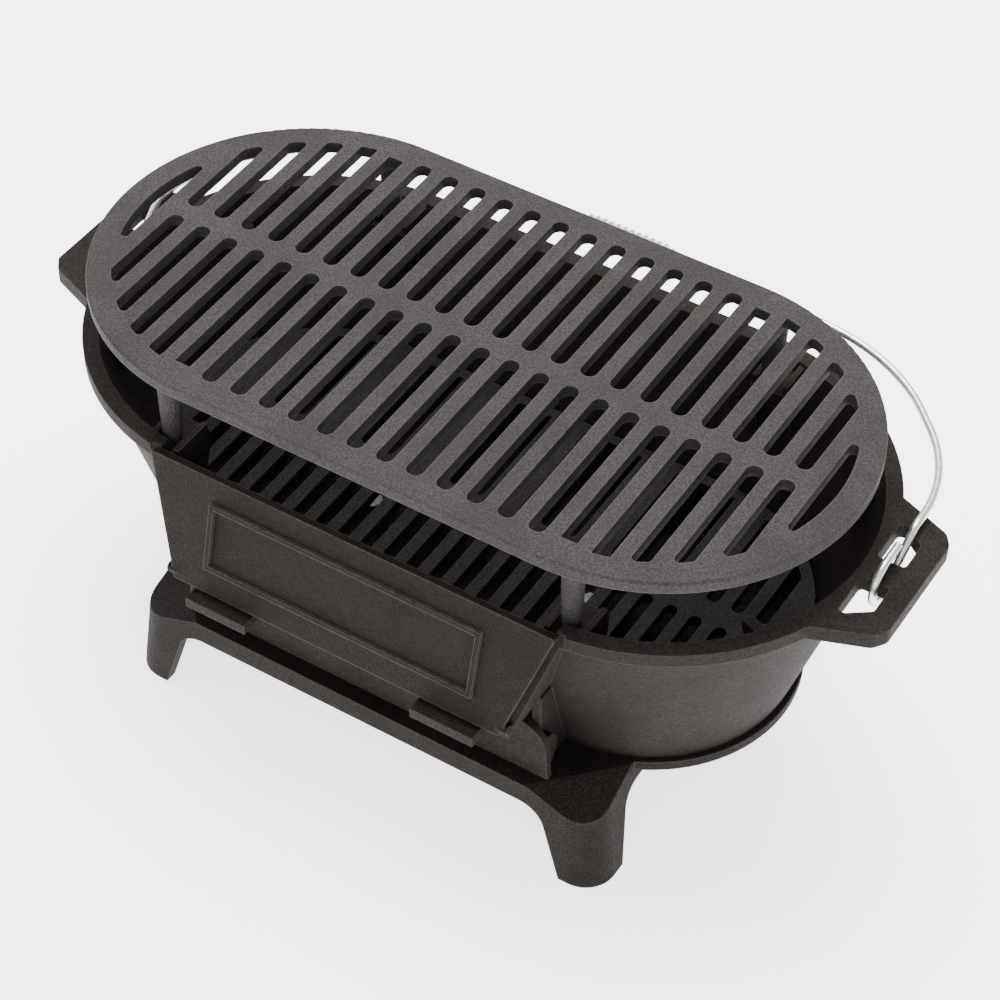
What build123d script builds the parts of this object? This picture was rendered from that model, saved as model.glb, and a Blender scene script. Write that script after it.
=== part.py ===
from build123d import *
from math import cos, hypot, radians, sin, tan
import os

os.makedirs("parts", exist_ok=True)

# Cast-iron hibachi grill: a tapered oval fire bowl on a four-footed base, with a drop-down
# fire door, a tilting draft door, two loose grates and a wire bail with a coiled grip.
# Millimetres, +X to the right, +Y to the back, +Z up. The two doors are at the front, -Y.
# Every piece is drawn about the middle of the bowl and then moved by origin_shift, which puts
# the origin on the floor under the middle of the whole grill, from its lugs to its grip.

# ---- driving dimensions ---------------------------------------------------------------
arc_centre = 104.5            # centre of every round end, along X
wall = 5.0                    # usual thickness of the castings
origin_shift = Location((0, -4.3, 0))

# Heights
base_top = 60.0
charcoal_top = 103.0
door_foot = 117.0
rim_top = 185.0
grate_top = 228.0

# Cooking grate
grate_radius = 114.5
grate_thickness = 7.0
grate_border_radius = 101.2
slot_pitch = 17.35
slot_width = 9.2
slot_inner = 4.9
slot_outer = 101.5
slot_outer_at_legs = 97.5
leg_column = 6
slot_columns = 11
slot_corner = 2.5             # rounding of the corners that the border leaves
end_slot_inner = 195.3
leg_x = 119.0
leg_y = 102.0
leg_top_radius = 6.5
leg_foot_radius = 5.0
leg_foot = 178.0
grate_play = (-2.0, -4.0)     # the loose grate lies a little forward in its pockets

# Charcoal grate
charcoal_radius = 87.0
charcoal_border_radius = 81.0
charcoal_thickness = 7.0
charcoal_pitch = 14.5
charcoal_slot_width = 7.4
charcoal_slot_inner = 6.5
charcoal_columns = 12

# Fire bowl
bowl_foot_radius = 82.5
bowl_top_radius = 120.0
rim_radius = 123.7
rim_lip = 8.0
floor_thickness = 6.0
ear_reach = 251.0
ear_half_width = 40.5
ear_thickness = 9.0
hole_inner = 223.5
hole_outer = 239.0
bridge_half_width = 8.0

# Fire door and the chute behind it
door_top_y = -126.0
door_foot_y = -141.5
door_thickness = 5.0
door_top_half = 119.5
door_foot_half = 98.8
door_gap = 0.4
chute_reach = 3.0             # the chute's cheeks show this far outside the door's sides
chute_floor = 112.5           # underside of the chute's floor
sweep_clearance = 0.6
bead_half_width = 81.0
bead_low = 14.7
bead_high = 55.2
bead_width = 3.0
bead_height = 1.4
pin_radius = 3.0
pin_clearance = 0.05
pin_length = 4.5

# Pockets for the cooking grate's legs, and the ribs and ledges inside the bowl
pocket_inner_x = 108.5
pocket_outer_x = 129.5
pocket_inner_y = 91.0
pocket_depth = 10.0
pocket_fin = 3.0
rib_angle = 33.0
rib_reach = 22.0
rib_thickness = 6.0
rib_drop = 34.0
ledge_reach = 10.0

# Lugs under the fire door
lug_inner = 50.5
lug_outer = 87.5
lug_front = -147.5
lug_top = 113.0
lug_thickness = 6.0
lug_step = -134.0
lug_root = -118.0

# Draft door
draft_front = -114.0
draft_thickness = 4.0
draft_low = 63.4
draft_high = 99.0
draft_foot_half = 112.4
draft_top_half = 109.0
draft_corner = 16.0
cheek_thickness = 3.6
cheek_bulge = 9.5
cheek_bulge_z = 73.0
draft_pin_radius = 2.0
draft_pin_length = 8.2
draft_pin_y = -106.5
draft_pin_z = 68.0
draft_relief = 0.6            # gap between the draft door and the chute's front edge

# Base
foot_top_half = (142.5, 121.3)
foot_floor_half = (150.0, 122.5)
foot_corner = 18.0
front_rim_half = 104.0
front_rim_y = 121.5
base_ledge_radius = 86.0
shoulder_line = ((103.0, 121.5), (147.0, 74.0))
shoulder_slope = 28.0         # how steeply the top falls to each foot, degrees
base_plate = 6.0
base_skirt = 13.0
base_wall = 7.0
foot_inner_x = 126.5
foot_inner_y = 96.0

# Bail
wire = 4.4
bail_x = 232.0
pivot_z = rim_top - ear_thickness / 2
hook_radius = 12.5
hook_exit = 38.0              # slope at which the wire leaves the hook, degrees
hook_tip = 13.0               # straight length of the hook's tip over the bridge
bail_fall = 3.0               # slope of the bail when it lies back, degrees
bend_run = 31.4               # wire between the hook and its bend
shoulder = [(232.0, 75.5), (165.0, 147.5)]
crown_y = 148.5
bend_radii = [10, 95, 110, 400, 110, 95, 10]
grip_length = 62.0
grip_radius = 8.0
grip_bore_radius = 5.0

# Bolts that hold the bowl to the base
bolt_x = 70.0
bolt_radius = 3.0
bolt_hole_radius = 3.3
bolt_head_across = 10.0
bolt_head_height = 4.0
bolt_length = 22.0
washer_radius = 7.0
washer_thickness = 1.6
nut_height = 5.0


# ---- helpers --------------------------------------------------------------------------
def door_y(height):
    """Depth of the fire door's front face at a height."""
    share = (height - door_foot) / (rim_top - door_foot)
    return door_foot_y + share * (door_top_y - door_foot_y)


def bowl_inner_radius(height):
    """Inner radius of the bowl's round ends at a height."""
    share = (height - base_top) / (rim_top - base_top)
    return bowl_foot_radius + share * (bowl_top_radius - bowl_foot_radius) - wall


def mirrored(points):
    """The same outline points on the other side of the YZ plane, in reverse order."""
    return [(-x, y) for x, y in reversed(points)]


def slot_rows(pitch, columns):
    """Slot columns, left and right of the middle."""
    return [side * pitch * (column + 0.5) for column in range(columns) for side in (-1, 1)]


# ---- cooking grate --------------------------------------------------------------------
def on_end_border(corner):
    """Whether a slot's corner lies on the border of a round end, well past the legs."""
    past = abs(corner.X) - arc_centre
    return past > 2 * slot_pitch and abs(hypot(past, corner.Y) - grate_border_radius) < 0.01


grate_plane = Plane((grate_play[0], grate_play[1], grate_top - grate_thickness))

with BuildSketch(grate_plane) as cooking_slots:
    for x in slot_rows(slot_pitch, slot_columns):
        for side in (-1, 1):
            with Locations((x, side * (slot_inner + slot_outer) / 2)):
                SlotOverall(slot_outer - slot_inner, slot_width, rotation=90)
    # The slots beside the legs stop square, short of the leg
    with Locations([(side_x * slot_pitch * (leg_column + 0.5), side_y * (slot_outer_at_legs + 10))
                    for side_x in (-1, 1) for side_y in (-1, 1)]):
        Rectangle(slot_pitch, 20, mode=Mode.SUBTRACT)
    for side in (-1, 1):
        with Locations((side * (end_slot_inner + 10), 0)):
            Rectangle(20, 2 * slot_outer)
    SlotCenterToCenter(2 * arc_centre, 2 * grate_border_radius, mode=Mode.INTERSECT)
    fillet(cooking_slots.vertices().filter_by(on_end_border), slot_corner)

with BuildPart() as cooking_grate:
    with BuildSketch(grate_plane):
        SlotCenterToCenter(2 * arc_centre, 2 * grate_radius)
    extrude(amount=grate_thickness)
    rim_edges = cooking_grate.faces().sort_by(Axis.Z)[-1].edges()
    fillet(rim_edges, 1.5)
    add(cooking_slots.sketch)
    extrude(amount=grate_thickness, mode=Mode.SUBTRACT)
    leg_length = grate_top - grate_thickness - leg_foot
    with Locations([(grate_play[0] + side_x * leg_x, grate_play[1] + side_y * leg_y,
                     leg_foot + leg_length / 2) for side_x in (-1, 1) for side_y in (-1, 1)]):
        Cone(leg_foot_radius, leg_top_radius, leg_length)

cooking_grate.part.label = "cooking_grate"
cooking_grate.part.locate(origin_shift)
export_step(cooking_grate.part, "parts/cooking_grate.step")


# ---- charcoal grate -------------------------------------------------------------------
charcoal_plane = Plane.XY.offset(charcoal_top - charcoal_thickness)

with BuildSketch(charcoal_plane) as charcoal_slots:
    charcoal_slot_length = charcoal_radius
    for x in slot_rows(charcoal_pitch, charcoal_columns):
        for side in (-1, 1):
            with Locations((x, side * (charcoal_slot_inner + charcoal_slot_length / 2))):
                SlotOverall(charcoal_slot_length, charcoal_slot_width, rotation=90)
    SlotCenterToCenter(2 * arc_centre, 2 * charcoal_border_radius, mode=Mode.INTERSECT)

with BuildPart() as charcoal_grate:
    with BuildSketch(charcoal_plane):
        SlotCenterToCenter(2 * arc_centre, 2 * charcoal_radius)
    extrude(amount=charcoal_thickness)
    add(charcoal_slots.sketch)
    extrude(amount=charcoal_thickness, mode=Mode.SUBTRACT)

charcoal_grate.part.label = "charcoal_grate"
charcoal_grate.part.locate(origin_shift)
export_step(charcoal_grate.part, "parts/charcoal_grate.step")


# ---- fire bowl ------------------------------------------------------------------------
pivot_door_y = door_y(door_foot + 4.0) + door_thickness / 2
pivot_door_z = door_foot + 3.5
door_foot_sweep = hypot(door_foot_y - pivot_door_y, door_foot - pivot_door_z)


def chute_outline(extra, floor):
    """Trapezoid of the chute, seen from the front; extra widens it on both sides."""
    return [(-door_foot_half - extra, floor), (door_foot_half + extra, floor),
            (door_top_half + extra, rim_top), (-door_top_half - extra, rim_top)]


def ear_outline():
    """Right half of the two ears, from the rim out to the corners and back."""
    front = [(190, -72), (210, -54.5), (ear_reach - 5, -ear_half_width), (ear_reach, -ear_half_width + 7)]
    return front + [(x, -y) for x, y in reversed(front)]


with BuildSketch(Plane.XY.offset(rim_top - ear_thickness)) as ear_plan:
    with BuildLine():
        Polyline(ear_outline(), close=True)
    make_face()
    with BuildLine():
        Polyline(mirrored(ear_outline()), close=True)
    make_face()
    fillet(ear_plan.vertices().filter_by(lambda corner: abs(corner.X) > 205), 6)

with BuildSketch(Plane.XY.offset(rim_top - ear_thickness)) as ear_holes:
    for side_x in (-1, 1):
        for side_y in (-1, 1):
            with BuildLine():
                Polyline((side_x * hole_inner, side_y * bridge_half_width),
                         (side_x * hole_outer, side_y * bridge_half_width),
                         (side_x * hole_outer, side_y * 26),
                         (side_x * (hole_outer - 12), side_y * 35),
                         (side_x * hole_inner, side_y * 34), close=True)
            make_face()
    fillet(ear_holes.vertices(), 2.4)

with BuildPart() as bowl_ribs:
    for side_x in (-1, 1):
        for side_y in (-1, 1):
            # Shelf under the leg, between two fins
            middle_x = side_x * (pocket_inner_x + pocket_outer_x) / 2
            with Locations((middle_x, side_y * (pocket_inner_y + 15), leg_foot - pocket_depth / 2)):
                Box(pocket_outer_x - pocket_inner_x, 30, pocket_depth)
            for x in (pocket_inner_x + pocket_fin / 2, pocket_outer_x - pocket_fin / 2):
                with BuildSketch(Plane.YZ.offset(side_x * x)):
                    with BuildLine():
                        Polyline((side_y * pocket_inner_y, leg_foot - pocket_depth),
                                 (side_y * (pocket_inner_y + 2), rim_top - 2),
                                 (side_y * 121, rim_top - 2), (side_y * 121, 130),
                                 (side_y * 100, 140), close=True)
                    make_face()
                extrude(amount=pocket_fin / 2, both=True)
            # Gusset rib on the round end, and a ledge that carries the charcoal grate
            turn = side_x * side_y * rib_angle if side_x > 0 else 180 + side_x * side_y * rib_angle
            spoke = Plane((side_x * arc_centre, 0, 0), x_dir=(cos(radians(turn)), sin(radians(turn)), 0),
                          z_dir=(sin(radians(turn)), -cos(radians(turn)), 0))
            with BuildSketch(spoke):
                with BuildLine():
                    rib_root = bowl_inner_radius(rim_top) + 3
                    Polyline((rib_root, rim_top - 6), (rib_root - rib_reach, rim_top - 12),
                             (rib_root - rib_reach, rim_top - 16),
                             (rib_root - 8, rim_top - 6 - rib_drop), (rib_root, rim_top - 6 - rib_drop),
                             close=True)
                make_face()
                with Locations((charcoal_radius - ledge_reach / 2 + 4, charcoal_top - charcoal_thickness - 5)):
                    Rectangle(ledge_reach + 4, 10)
            extrude(amount=rib_thickness / 2, both=True)
    # Nothing shows outside the bowl's wall
    with BuildSketch(Plane.XY.offset(base_top)):
        SlotCenterToCenter(2 * arc_centre, 2 * bowl_foot_radius - 2)
    with BuildSketch(Plane.XY.offset(rim_top)):
        SlotCenterToCenter(2 * arc_centre, 2 * bowl_top_radius - 2)
    loft(mode=Mode.INTERSECT)

with BuildPart() as fire_bowl:
    with BuildSketch(Plane.XY.offset(base_top)):
        SlotCenterToCenter(2 * arc_centre, 2 * bowl_foot_radius)
    with BuildSketch(Plane.XY.offset(rim_top)):
        SlotCenterToCenter(2 * arc_centre, 2 * bowl_top_radius)
    loft()
    with BuildSketch(Plane.XY.offset(rim_top - rim_lip)):
        SlotCenterToCenter(2 * arc_centre, 2 * rim_radius)
    extrude(amount=rim_lip)
    add(ear_plan.sketch)
    extrude(amount=ear_thickness)
    # Chute behind the fire door, and the narrower one behind the draft door
    with BuildSketch(Plane.XZ.offset(60)):
        with BuildLine():
            Polyline(chute_outline(chute_reach, chute_floor), close=True)
        make_face()
    extrude(amount=-door_foot_y - 60)
    with BuildSketch(Plane.XZ.offset(60)):
        with Locations((0, (base_top + door_foot) / 2)):
            Rectangle(2 * (draft_top_half - cheek_thickness - 1.0), door_foot - base_top)
    extrude(amount=-draft_front - draft_thickness - draft_relief - 60)
    # Everything in front of the fire door's back face goes
    with BuildSketch(Plane.YZ):
        with BuildLine():
            back = door_thickness + door_gap
            Polyline((door_y(rim_top + 20) + back, rim_top + 20), (door_y(100) + back, 100),
                     (-200, 100), (-200, rim_top + 20), close=True)
        make_face()
    extrude(amount=door_top_half + chute_reach, both=True, mode=Mode.SUBTRACT)
    # Hollow of the bowl
    with BuildSketch(Plane.XY.offset(base_top + floor_thickness)):
        SlotCenterToCenter(2 * arc_centre, 2 * bowl_inner_radius(base_top + floor_thickness))
    with BuildSketch(Plane.XY.offset(rim_top)):
        SlotCenterToCenter(2 * arc_centre, 2 * bowl_inner_radius(rim_top))
    loft(mode=Mode.SUBTRACT)
    # Hollow of the chute
    with BuildSketch(Plane.XZ.offset(50)):
        with BuildLine():
            Polyline(chute_outline(chute_reach - wall, door_foot + 2), close=True)
        make_face()
    extrude(amount=120, mode=Mode.SUBTRACT)
    # Draft opening
    with BuildSketch(Plane.XZ.offset(50)):
        with Locations((0, (base_top + floor_thickness + 107) / 2)):
            Rectangle(2 * (draft_top_half - cheek_thickness - 1.0 - wall), 107 - base_top - floor_thickness)
    extrude(amount=90, mode=Mode.SUBTRACT)
    # Lugs that carry the fire door when it is down
    for side in (-1, 1):
        with BuildSketch(Plane.YZ.offset(side * (lug_inner + lug_outer) / 2)):
            with BuildLine():
                Polyline((lug_front, lug_top - lug_thickness), (lug_front, lug_top), (lug_step, lug_top),
                         (lug_step, chute_floor + 3), (lug_root, chute_floor + 3),
                         (lug_root, lug_top - lug_thickness), close=True)
            make_face()
        extrude(amount=(lug_outer - lug_inner) / 2, both=True)
    # Room for the fire door's foot to swing round its pins
    with Locations((0, pivot_door_y, pivot_door_z)):
        Cylinder(door_foot_sweep + sweep_clearance, 2 * (door_foot_half + chute_reach - wall + 3), rotation=(0, 90, 0),
                 mode=Mode.SUBTRACT)
    # Room for the draft door's foot to swing back as the door tilts out
    with BuildSketch(Plane.YZ):
        with Locations((draft_pin_y, draft_pin_z)):
            Polygon((-3.2, -1.2), (-3.2, -9), (0.2, -9), (0.2, -5.6), align=None)
    extrude(amount=draft_foot_half, both=True, mode=Mode.SUBTRACT)
    add(bowl_ribs.part)
    add(ear_holes.sketch)
    extrude(amount=ear_thickness, mode=Mode.SUBTRACT)
    # Pin holes of the two doors, and the bolt holes in the floor
    with Locations((0, pivot_door_y, pivot_door_z)):
        Cylinder(pin_radius + pin_clearance, 2 * (door_foot_half + 20), rotation=(0, 90, 0), mode=Mode.SUBTRACT)
    with Locations((0, draft_pin_y, draft_pin_z)):
        Cylinder(draft_pin_radius + pin_clearance, 2 * draft_foot_half, rotation=(0, 90, 0), mode=Mode.SUBTRACT)
    with Locations([(side * bolt_x, 0, base_top + floor_thickness) for side in (-1, 1)]):
        Hole(bolt_hole_radius, depth=floor_thickness)

fire_bowl.part.label = "fire_bowl"
fire_bowl.part.locate(origin_shift)
export_step(fire_bowl.part, "parts/fire_bowl.step")


# ---- fire door ------------------------------------------------------------------------
door_lean = Vector(0, door_top_y - door_foot_y, rim_top - door_foot).normalized()
door_face = Plane(origin=(0, door_foot_y, door_foot), x_dir=(1, 0, 0),
                  z_dir=(0, -door_lean.Z, door_lean.Y))
door_height = (rim_top - door_foot) / door_lean.Z

with BuildPart() as fire_door:
    with BuildSketch(door_face):
        with BuildLine():
            Polyline((-door_foot_half, 0), (door_foot_half, 0), (door_top_half, door_height),
                     (-door_top_half, door_height), close=True)
        make_face()
    extrude(amount=-door_thickness)
    with BuildSketch(door_face):
        with Locations((0, (bead_low + bead_high) / 2)):
            Rectangle(2 * bead_half_width, bead_high - bead_low)
            Rectangle(2 * (bead_half_width - bead_width), bead_high - bead_low - 2 * bead_width,
                      mode=Mode.SUBTRACT)
    extrude(amount=bead_height)
    for side in (-1, 1):
        with Locations((side * (door_foot_half + pin_length / 2 - 1.0), pivot_door_y, pivot_door_z)):
            Cylinder(pin_radius, pin_length + 2.0, rotation=(0, 90, 0))

fire_door.part.label = "fire_door"
fire_door.part.locate(origin_shift)
export_step(fire_door.part, "parts/fire_door.step")


# ---- draft door -----------------------------------------------------------------------
with BuildPart() as draft_door:
    with BuildSketch(Plane.XZ.offset(-draft_front - draft_thickness)) as draft_plate:
        with BuildLine():
            Polyline((-draft_foot_half, draft_low), (draft_foot_half, draft_low),
                     (draft_top_half, draft_high), (-draft_top_half, draft_high), close=True)
        make_face()
        fillet(draft_plate.vertices().group_by(Axis.Y)[-1], draft_corner)
    extrude(amount=draft_thickness)
    for side in (-1, 1):
        inner = side * (draft_top_half - cheek_thickness)
        with BuildSketch(Plane.YZ.offset(inner)):
            with BuildLine():
                back_face = draft_front + draft_thickness
                ThreePointArc((back_face - 1, draft_low), (back_face + cheek_bulge, cheek_bulge_z),
                              (back_face - 1, draft_high - draft_corner / 2))
                Line((back_face - 1, draft_high - draft_corner / 2), (back_face - 1, draft_low))
            make_face()
        extrude(amount=side * cheek_thickness)
        # The pin ends inside the cheek
        with Locations((side * (draft_top_half - 1.0 - draft_pin_length / 2), draft_pin_y, draft_pin_z)):
            Cylinder(draft_pin_radius, draft_pin_length, rotation=(0, 90, 0))

draft_door.part.label = "draft_door"
draft_door.part.locate(origin_shift)
export_step(draft_door.part, "parts/draft_door.step")


# ---- base -----------------------------------------------------------------------------
(shoulder_x0, shoulder_y0), (shoulder_x1, shoulder_y1) = shoulder_line
shoulder_run = Vector(shoulder_x1 - shoulder_x0, shoulder_y0 - shoulder_y1, 0)
shoulder_out = Vector(shoulder_run.Y, -shoulder_run.X, 0).normalized()
shoulder_reach = 60.0

with BuildPart() as shoulder_wedges:
    with BuildSketch(Plane(origin=(shoulder_x0, -shoulder_y0, base_top), x_dir=shoulder_out,
                           z_dir=shoulder_run.normalized())):
        with BuildLine():
            Polyline((0, 0), (shoulder_reach, shoulder_reach * tan(radians(shoulder_slope))),
                     (shoulder_reach, -2), (0, -2), close=True)
        make_face()
    extrude(amount=shoulder_run.length)
    mirror(about=Plane.YZ)
    mirror(about=Plane.XZ)

with BuildPart() as base_hollow:
    with BuildSketch(Plane.XY.offset(-1)):
        RectangleRounded(2 * (foot_floor_half[0] - base_wall), 2 * (foot_floor_half[1] - base_wall), foot_corner / 2)
    with BuildSketch(Plane.XY.offset(base_top - base_plate)):
        RectangleRounded(2 * (foot_top_half[0] - base_wall), 2 * (foot_top_half[1] - base_wall), foot_corner / 2)
    loft()
    add(shoulder_wedges.part.moved(Location((0, 0, -base_plate - 1.5))), mode=Mode.SUBTRACT)

with BuildPart() as base:
    with BuildSketch():
        RectangleRounded(2 * foot_floor_half[0], 2 * foot_floor_half[1], foot_corner)
    with BuildSketch(Plane.XY.offset(base_top)):
        RectangleRounded(2 * foot_top_half[0], 2 * foot_top_half[1], foot_corner)
    loft()
    with BuildSketch(Plane.XY.offset(base_top - base_plate)):
        SlotCenterToCenter(2 * arc_centre, 2 * base_ledge_radius)
    extrude(amount=base_plate)
    with BuildSketch(Plane.XY.offset(base_top - base_skirt)):
        Rectangle(2 * front_rim_half, 2 * front_rim_y)
    extrude(amount=base_skirt)
    add(shoulder_wedges.part, mode=Mode.SUBTRACT)
    add(base_hollow.part, mode=Mode.SUBTRACT)
    # Openings between the feet, from the front and from the side
    with BuildSketch(Plane.XZ) as front_arch:
        with BuildLine():
            Polyline((-foot_inner_x, -1), (foot_inner_x, -1), (112, base_top - base_skirt),
                     (-112, base_top - base_skirt), close=True)
        make_face()
        fillet(front_arch.vertices().group_by(Axis.Y)[-1], 16)
    extrude(amount=2 * front_rim_y, both=True, mode=Mode.SUBTRACT)
    with BuildSketch(Plane.YZ) as side_arch:
        with BuildLine():
            Polyline((-foot_inner_y, -1), (foot_inner_y, -1), (86, base_top - base_skirt),
                     (-86, base_top - base_skirt), close=True)
        make_face()
        fillet(side_arch.vertices().group_by(Axis.Y)[-1], 14)
    extrude(amount=2 * foot_floor_half[0], both=True, mode=Mode.SUBTRACT)
    with Locations([(side * bolt_x, 0, base_top) for side in (-1, 1)]):
        Hole(bolt_hole_radius, depth=30)

base.part.label = "base"
base.part.locate(origin_shift)
export_step(base.part, "parts/base.step")


# ---- bail handle ----------------------------------------------------------------------
bail_slope = tan(radians(bail_fall))
exit_angle = radians(hook_exit - 90)
exit_point = (bail_x, hook_radius * cos(exit_angle), pivot_z + hook_radius * sin(exit_angle))
bend_point = (bail_x, exit_point[1] + bend_run * cos(radians(hook_exit)),
              exit_point[2] + bend_run * sin(radians(hook_exit)))


def bail_height(y):
    """Height of the bail's wire behind its bend."""
    return bend_point[2] - (y - bend_point[1]) * bail_slope


right_side = [exit_point, bend_point] + [(x, y, bail_height(y)) for x, y in shoulder]
left_side = [(-x, y, z) for x, y, z in reversed(right_side)]


def hook_point(side, angle):
    """Point on the hook's ring round the ear's bridge."""
    return (side * bail_x, hook_radius * cos(radians(angle)), pivot_z + hook_radius * sin(radians(angle)))


def hook(side):
    """Middle line of the hook, from its tip to where the wire leaves it."""
    top, tail = 90, 270 + hook_exit
    Line((side * bail_x, hook_tip, pivot_z + hook_radius), hook_point(side, top))
    ThreePointArc(hook_point(side, top), hook_point(side, (top + tail) / 2), hook_point(side, tail))


with BuildPart() as bail_handle:
    with BuildLine() as bail_line:
        hook(1)
        FilletPolyline(*right_side, (0, crown_y, bail_height(crown_y)), *left_side,
                       radius=bend_radii)
        hook(-1)
    with BuildSketch(Plane(origin=bail_line.line @ 0, z_dir=bail_line.line % 0)):
        Circle(wire / 2)
    sweep()

bail_handle.part.label = "bail_handle"
bail_handle.part.locate(origin_shift)
export_step(bail_handle.part, "parts/bail_handle.step")


# ---- coil grip ------------------------------------------------------------------------
grip_plane = Plane(origin=(-grip_length / 2, crown_y - 0.4, bail_height(crown_y)), z_dir=(1, 0, 0))

with BuildPart() as coil_grip:
    with BuildSketch(grip_plane):
        Circle(grip_radius)
        Circle(grip_bore_radius, mode=Mode.SUBTRACT)
    extrude(amount=grip_length)

coil_grip.part.label = "coil_grip"
coil_grip.part.locate(origin_shift)
export_step(coil_grip.part, "parts/coil_grip.step")


# ---- bolts, washers and nuts between bowl and base ------------------------------------
bolt_places = [(-bolt_x, 0), (bolt_x, 0)]
bowl_floor = base_top + floor_thickness
plate_underside = base_top - base_plate

with BuildPart() as base_bolts:
    with BuildSketch(Plane.XY.offset(bowl_floor)):
        with Locations(bolt_places):
            RegularPolygon(bolt_head_across / 2, 6, major_radius=False)
    extrude(amount=bolt_head_height)
    with BuildSketch(Plane.XY.offset(bowl_floor)):
        with Locations(bolt_places):
            Circle(bolt_radius)
    extrude(amount=-bolt_length)

base_bolts.part.label = "base_bolts"
base_bolts.part.locate(origin_shift)
export_step(base_bolts.part, "parts/base_bolts.step")

with BuildPart() as base_washers:
    with BuildSketch(Plane.XY.offset(plate_underside - washer_thickness)):
        with Locations(bolt_places):
            Circle(washer_radius)
            Circle(bolt_hole_radius, mode=Mode.SUBTRACT)
    extrude(amount=washer_thickness)

base_washers.part.label = "base_washers"
base_washers.part.locate(origin_shift)
export_step(base_washers.part, "parts/base_washers.step")

with BuildPart() as base_nuts:
    with BuildSketch(Plane.XY.offset(plate_underside - washer_thickness - nut_height)):
        with Locations(bolt_places):
            RegularPolygon(bolt_head_across / 2, 6, major_radius=False)
            Circle(bolt_radius + 0.05, mode=Mode.SUBTRACT)
    extrude(amount=nut_height)

base_nuts.part.label = "base_nuts"
base_nuts.part.locate(origin_shift)
export_step(base_nuts.part, "parts/base_nuts.step")
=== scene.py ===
import math

import bmesh
import bpy
from mathutils import Matrix, Vector


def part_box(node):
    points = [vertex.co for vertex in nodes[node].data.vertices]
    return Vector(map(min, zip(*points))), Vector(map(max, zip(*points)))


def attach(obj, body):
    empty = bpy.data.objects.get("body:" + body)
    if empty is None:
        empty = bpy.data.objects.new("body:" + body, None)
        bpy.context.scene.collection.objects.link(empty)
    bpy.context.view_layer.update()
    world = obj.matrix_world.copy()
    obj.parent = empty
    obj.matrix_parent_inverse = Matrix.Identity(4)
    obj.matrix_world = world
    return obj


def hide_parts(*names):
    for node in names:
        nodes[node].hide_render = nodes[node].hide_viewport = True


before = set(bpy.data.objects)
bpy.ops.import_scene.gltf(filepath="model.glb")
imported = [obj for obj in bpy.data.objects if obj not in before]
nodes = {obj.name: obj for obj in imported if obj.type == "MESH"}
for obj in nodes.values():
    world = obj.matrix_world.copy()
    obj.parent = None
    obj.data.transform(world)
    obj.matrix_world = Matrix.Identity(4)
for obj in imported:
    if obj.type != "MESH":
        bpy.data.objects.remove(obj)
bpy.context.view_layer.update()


# ---- surface detail --------------------------------------------------------------------
# Noise scales are in features per metre, lengths in metres.
grain_scale = 900.0
pit_scale = 420.0
blotch_scale = 28.0
grain_depth = 0.0007
pit_depth = 0.0012
iron_reflection = 0.08
iron_tint = (1.0, 0.88, 0.82, 1.0)
draw_line_scale = 60.0
draw_line_stretch = (1.0, 14.0, 22.0)
spot_scale = 260.0
spot_depth = 0.0002


# ---- node helpers ----------------------------------------------------------------------
class Graph:
    """A material's node tree, built one node at a time."""

    def __init__(self, name):
        self.material = bpy.data.materials.new(name)
        self.material.use_nodes = True
        self.tree = self.material.node_tree
        self.shader = self.tree.nodes["Principled BSDF"]
        self.place = self.add("ShaderNodeTexCoord").outputs["Object"]

    def add(self, kind, **settings):
        node = self.tree.nodes.new(kind)
        for key, value in settings.items():
            setattr(node, key, value)
        return node

    def link(self, source, target):
        self.tree.links.new(source, target)

    def noise(self, scale, detail=4.0, rough=0.6, stretch=None):
        node = self.add("ShaderNodeTexNoise")
        node.inputs["Scale"].default_value = scale
        node.inputs["Detail"].default_value = detail
        node.inputs["Roughness"].default_value = rough
        if stretch is None:
            self.link(self.place, node.inputs["Vector"])
        else:
            mapping = self.add("ShaderNodeMapping")
            mapping.inputs["Scale"].default_value = stretch
            self.link(self.place, mapping.inputs["Vector"])
            self.link(mapping.outputs["Vector"], node.inputs["Vector"])
        return node.outputs["Fac"]

    def span(self, source, low, high, to_low=0.0, to_high=1.0):
        node = self.add("ShaderNodeMapRange")
        node.inputs["From Min"].default_value = low
        node.inputs["From Max"].default_value = high
        node.inputs["To Min"].default_value = to_low
        node.inputs["To Max"].default_value = to_high
        self.link(source, node.inputs["Value"])
        return node.outputs["Result"]

    def math(self, operation, first, second):
        node = self.add("ShaderNodeMath", operation=operation)
        for socket, value in zip(node.inputs, (first, second)):
            if isinstance(value, (int, float)):
                socket.default_value = value
            else:
                self.link(value, socket)
        return node.outputs[0]

    def mix(self, factor, first, second):
        node = self.add("ShaderNodeMix", data_type="RGBA")
        self.link(factor, node.inputs["Factor"])
        for socket, value in ((node.inputs["A"], first), (node.inputs["B"], second)):
            if isinstance(value, tuple):
                socket.default_value = (*value, 1.0)
            else:
                self.link(value, socket)
        return node.outputs["Result"]


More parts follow.
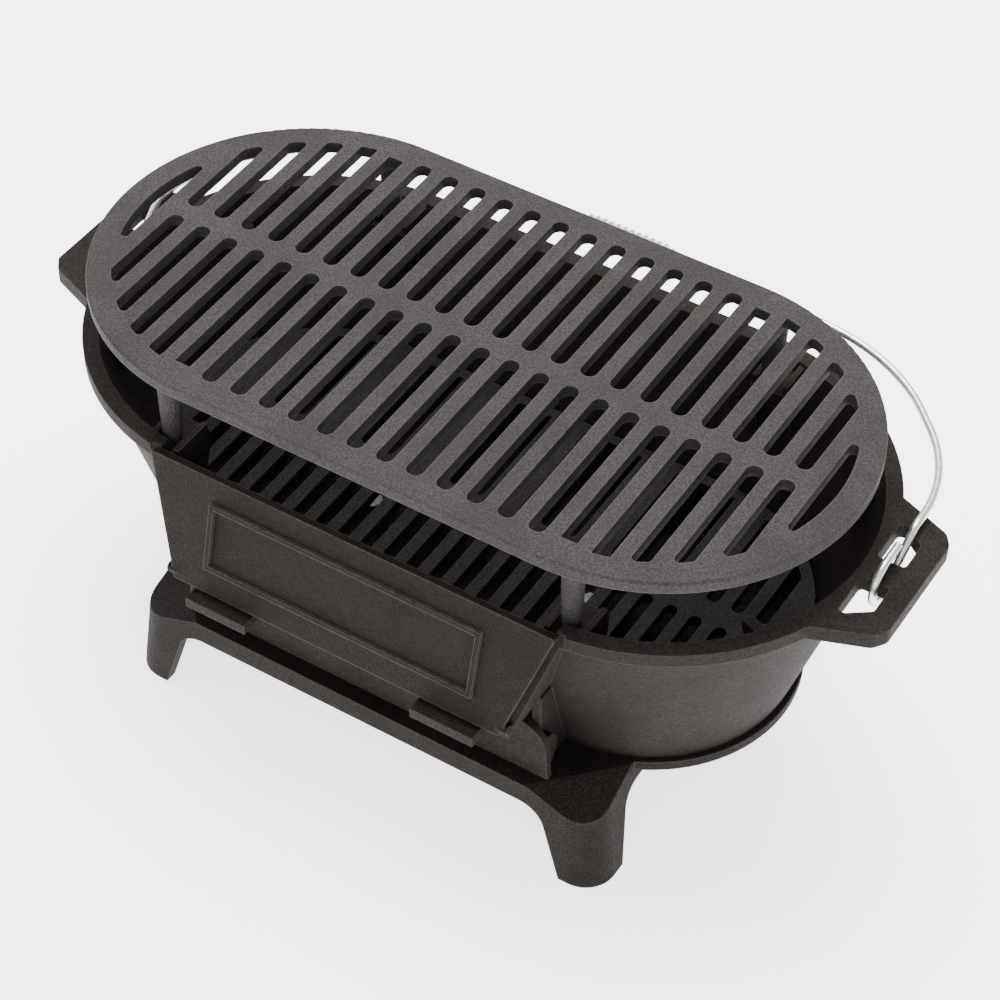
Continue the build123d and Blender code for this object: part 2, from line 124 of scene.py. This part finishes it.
def iron(name, base, light, edge, grain=1.0, rough=(0.55, 0.75), edge_strength=0.6,
         round_edge=0.0011):
    """Seasoned cast iron: sand-cast grain, faint blotches, and lighter edges that are partly bare, worn
    iron and partly a painted highlight where rounded edges catch the light.
    """
    g = Graph(name)
    fine = g.noise(grain_scale, detail=3.0, rough=0.7)
    pits = g.noise(pit_scale, detail=5.0, rough=0.75)
    blotch = g.noise(blotch_scale, detail=3.0, rough=0.5)

    bevel = g.add("ShaderNodeBevel", samples=6)
    bevel.inputs["Radius"].default_value = round_edge
    geometry = g.add("ShaderNodeNewGeometry")
    facing = g.add("ShaderNodeVectorMath", operation="DOT_PRODUCT")
    g.link(bevel.outputs["Normal"], facing.inputs[0])
    g.link(geometry.outputs["Normal"], facing.inputs[1])
    # Edge mask from the bevel normal: lightens edges, partly as bare worn iron, partly as a painted
    # highlight along rounded edges.
    edge_wear_and_highlight = g.span(facing.outputs["Value"], 0.99, 0.84)
    edge_wear_and_highlight = g.math("MULTIPLY", edge_wear_and_highlight, g.span(pits, 0.36, 0.6, 0.35, 1.0))
    edge_wear_and_highlight = g.math("MULTIPLY", edge_wear_and_highlight, edge_strength)

    colour = g.mix(g.span(fine, 0.40, 0.60), base, light)
    dull = tuple(0.80 * c for c in base)
    colour = g.mix(g.span(blotch, 0.42, 0.62, 0.0, 0.35), colour, dull)
    # Mix in the edge colour: part wear, part painted highlight.
    colour = g.mix(edge_wear_and_highlight, colour, edge)
    g.link(colour, g.shader.inputs["Base Color"])
    g.link(g.span(pits, 0.3, 0.7, rough[0], rough[1]), g.shader.inputs["Roughness"])
    g.shader.inputs["Metallic"].default_value = 0.0
    g.shader.inputs["Specular IOR Level"].default_value = iron_reflection
    g.shader.inputs["Specular Tint"].default_value = iron_tint

    first = g.add("ShaderNodeBump")
    first.inputs["Strength"].default_value = 0.9 * grain
    first.inputs["Distance"].default_value = grain_depth
    g.link(fine, first.inputs["Height"])
    g.link(bevel.outputs["Normal"], first.inputs["Normal"])
    second = g.add("ShaderNodeBump")
    second.inputs["Strength"].default_value = 0.6 * grain
    second.inputs["Distance"].default_value = pit_depth
    g.link(pits, second.inputs["Height"])
    g.link(first.outputs["Normal"], second.inputs["Normal"])
    g.link(second.outputs["Normal"], g.shader.inputs["Normal"])
    return g.material


def plated(name, bright, dark, rough=(0.22, 0.42)):
    """Zinc-plated wire: soft silver with fine drawing lines and dull spots."""
    g = Graph(name)
    lines = g.noise(draw_line_scale, detail=4.0, rough=0.6, stretch=draw_line_stretch)
    spots = g.noise(spot_scale, detail=4.0, rough=0.7)
    colour = g.mix(g.span(lines, 0.3, 0.7), bright, dark)
    colour = g.mix(g.span(spots, 0.58, 0.74, 0.0, 0.55), colour, tuple(0.45 * c for c in dark))
    g.link(colour, g.shader.inputs["Base Color"])
    g.link(g.span(spots, 0.3, 0.7, rough[0], rough[1]), g.shader.inputs["Roughness"])
    g.shader.inputs["Metallic"].default_value = 1.0
    bump = g.add("ShaderNodeBump")
    bump.inputs["Strength"].default_value = 0.25
    bump.inputs["Distance"].default_value = spot_depth
    g.link(spots, bump.inputs["Height"])
    g.link(bump.outputs["Normal"], g.shader.inputs["Normal"])
    return g.material


def plain(name, colour, rough):
    """One even colour."""
    g = Graph(name)
    g.shader.inputs["Base Color"].default_value = (*colour, 1.0)
    g.shader.inputs["Roughness"].default_value = rough
    return g.material


# ---- materials -------------------------------------------------------------------------
# The third colour of each iron is its edge colour: partly worn iron, partly a painted highlight on
# rounded edges.
grate_iron = iron("grate_iron", (0.0265, 0.0244, 0.0242), (0.0560, 0.0525, 0.0520), (0.170, 0.160, 0.158),
                  grain=1.2)
charcoal_iron = iron("charcoal_iron", (0.0145, 0.0132, 0.0130), (0.034, 0.0315, 0.0312),
                     (0.105, 0.099, 0.097))
bowl_iron = iron("bowl_iron", (0.0090, 0.0073, 0.0068), (0.0240, 0.0202, 0.0190), (0.120, 0.106, 0.100),
                 edge_strength=0.5)
base_iron = iron("base_iron", (0.0055, 0.0043, 0.0040), (0.021, 0.0173, 0.0161), (0.135, 0.117, 0.110),
                 round_edge=0.0018)
door_iron = iron("door_iron", (0.0046, 0.0029, 0.0024), (0.0130, 0.0088, 0.0075), (0.125, 0.103, 0.094),
                 rough=(0.38, 0.60), edge_strength=0.85)
zinc_wire = plated("zinc_wire", (0.78, 0.78, 0.75), (0.55, 0.55, 0.52))
zinc_coil = plated("zinc_coil", (0.72, 0.71, 0.68), (0.50, 0.49, 0.46), rough=(0.26, 0.48))
dull_steel = plated("dull_steel", (0.42, 0.42, 0.41), (0.28, 0.28, 0.27), rough=(0.35, 0.6))

finishes = {
    "cooking_grate": grate_iron,
    "charcoal_grate": charcoal_iron,
    "fire_bowl": bowl_iron,
    "fire_door": door_iron,
    "draft_door": bowl_iron,
    "base": base_iron,
    "bail_handle": zinc_wire,
    "base_bolts": dull_steel,
    "base_washers": dull_steel,
    "base_nuts": dull_steel,
}
for name, material in finishes.items():
    mesh = nodes[name].data
    mesh.materials.clear()
    mesh.materials.append(material)


# ---- coil grip -------------------------------------------------------------------------
def tube(name, path, radius, sides=12):
    """A round wire along a path of points, closed at both ends."""
    bm = bmesh.new()
    rings = []
    side = None
    for i, point in enumerate(path):
        ahead = (path[min(i + 1, len(path) - 1)] - path[max(i - 1, 0)]).normalized()
        if side is None:
            side = ahead.orthogonal().normalized()
        side = (side - ahead * side.dot(ahead)).normalized()
        up = ahead.cross(side)
        rings.append([bm.verts.new(point + radius * (math.cos(a) * side + math.sin(a) * up))
                      for a in (2 * math.pi * k / sides for k in range(sides))])
    for before, after in zip(rings, rings[1:]):
        for k in range(sides):
            bm.faces.new((before[k], before[(k + 1) % sides], after[(k + 1) % sides], after[k]))
    bm.faces.new(list(reversed(rings[0])))
    bm.faces.new(rings[-1])
    bmesh.ops.recalc_face_normals(bm, faces=bm.faces)
    mesh = bpy.data.meshes.new(name)
    bm.to_mesh(mesh)
    bm.free()
    for face in mesh.polygons:
        face.use_smooth = True
    piece = bpy.data.objects.new(name, mesh)
    bpy.context.scene.collection.objects.link(piece)
    return piece


low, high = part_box("coil_grip")
grip_centre = (Vector(low) + Vector(high)) / 2
grip_length = high[0] - low[0]
grip_radius = (high[2] - low[2]) / 2
coil_wire = 0.00165           # radius of the coil's wire
coil_turns = 13.6
end_pinch = 0.0019            # how much tighter the coil's end turns are wound
pinch_turns = 1.8             # over how many turns it tightens
steps_per_turn = 36

coil_path = []
steps = round(coil_turns * steps_per_turn)
for step in range(steps + 1):
    share = step / steps
    turn = share * coil_turns
    from_end = min(turn, coil_turns - turn)
    pinch = end_pinch * max(0.0, 1.0 - from_end / pinch_turns) ** 1.3
    ring = grip_radius - coil_wire - pinch
    angle = 2 * math.pi * turn
    along = (share - 0.5) * (grip_length - 2 * coil_wire)
    coil_path.append(grip_centre + Vector((along, ring * math.cos(angle), ring * math.sin(angle))))

coil = tube("coil_winding", coil_path, coil_wire)
coil.data.materials.append(zinc_coil)
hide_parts("coil_grip")
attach(coil, "bail")


# ---- floor, light and camera -----------------------------------------------------------
def sheet(name, half, z, material):
    """A level square, twice half wide."""
    bm = bmesh.new()
    corners = [bm.verts.new((x * half, y * half, z)) for x, y in ((-1, -1), (1, -1), (1, 1), (-1, 1))]
    bm.faces.new(corners)
    mesh = bpy.data.meshes.new(name)
    bm.to_mesh(mesh)
    bm.free()
    mesh.materials.append(material)
    piece = bpy.data.objects.new(name, mesh)
    bpy.context.scene.collection.objects.link(piece)
    return piece


floor_half = 6.0
floor_level = -0.0004         # just under the feet
floor_glow = 2.4              # keeps the floor nearly white, with a faint shadow
pale_floor = plain("pale_floor", (0.95, 0.95, 0.95), 0.9)
floor_shader = pale_floor.node_tree.nodes["Principled BSDF"]
floor_shader.inputs["Emission Color"].default_value = (1.0, 1.0, 1.0, 1.0)
floor_shader.inputs["Emission Strength"].default_value = floor_glow
floor = sheet("floor", floor_half, floor_level, pale_floor)


def area_light(name, position, target, size, watts):
    """A round softbox that faces the target."""
    light = bpy.data.lights.new(name, "AREA")
    light.shape = "DISK"
    light.size = size
    light.energy = watts
    lamp = bpy.data.objects.new(name, light)
    lamp.location = position
    lamp.rotation_euler = (Vector(target) - Vector(position)).to_track_quat("-Z", "Y").to_euler()
    bpy.context.scene.collection.objects.link(lamp)


middle = (0, 0, 0.12)
area_light("top_softbox", (-0.25, 0.45, 1.7), middle, 1.5, 75)
area_light("front_fill", (0.9, -2.1, 0.9), middle, 1.6, 22)
area_light("left_fill", (-2.0, -0.7, 0.9), middle, 1.2, 12)

world = bpy.data.worlds.new("studio")
world.use_nodes = True
background = world.node_tree.nodes["Background"]
background.inputs["Color"].default_value = (1.0, 1.0, 1.0, 1.0)
background.inputs["Strength"].default_value = 1.1
bpy.context.scene.world = world

camera_place = Vector((0.5603, -0.9263, 1.1977))
azimuth = math.radians(30.741)
elevation = math.radians(45.277)
roll = math.radians(1.586)
back = Vector((math.sin(azimuth) * math.cos(elevation), -math.cos(azimuth) * math.cos(elevation),
               math.sin(elevation)))
level = (-back).cross(Vector((0, 0, 1))).normalized()
down = (-back).cross(level)
right = math.cos(roll) * level - math.sin(roll) * down
down = math.sin(roll) * level + math.cos(roll) * down
camera_data = bpy.data.cameras.new("camera")
camera_data.sensor_width = 36.0
camera_data.lens = 102.75
camera = bpy.data.objects.new("camera", camera_data)
turn = Matrix((right, -down, back)).transposed().to_4x4()
camera.matrix_world = Matrix.Translation(camera_place) @ turn
bpy.context.scene.collection.objects.link(camera)
bpy.context.scene.camera = camera
